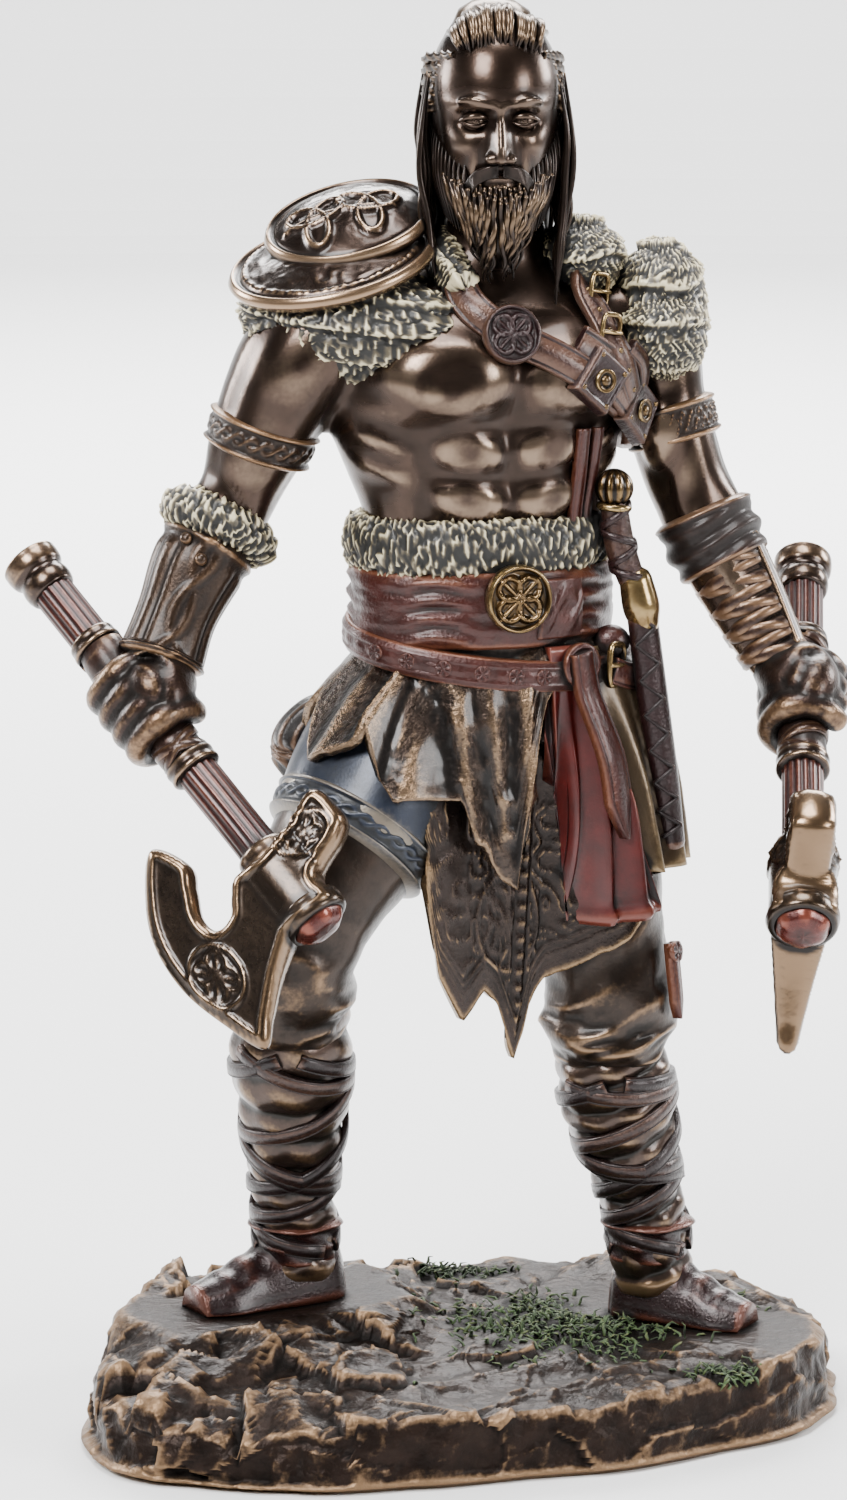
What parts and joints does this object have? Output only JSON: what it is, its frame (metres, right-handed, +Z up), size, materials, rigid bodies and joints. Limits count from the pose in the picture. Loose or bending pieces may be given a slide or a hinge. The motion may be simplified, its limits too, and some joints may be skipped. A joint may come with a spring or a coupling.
{
  "type": "viking warrior statue",
  "caption": "Cast figurine of a standing bearded viking warrior on a rocky base, with bare chest, fur mantle, draped skirts, wound leggings and an axe held in each hand.",
  "frame": {"origin": "centre of the underside of the rocky base", "axes": "+Z up, -Y towards the viewer (the way the figure faces), +X to the viewer's right"},
  "size_m": [0.1688, 0.1109, 0.2831],
  "materials": {
    "rock": "bronzed resin, dark brown with rubbed edges and green moss",
    "figure": "bronzed resin with dark wash and painted leather, cloth and fur",
    "axes": "bronzed resin, with red brown hafts"
  },
  "bodies": {
    "root": {"rocky_base": "rock", "warrior": "figure", "right_axe": "axes", "left_axe": "axes"}
  },
  "joints": []
}
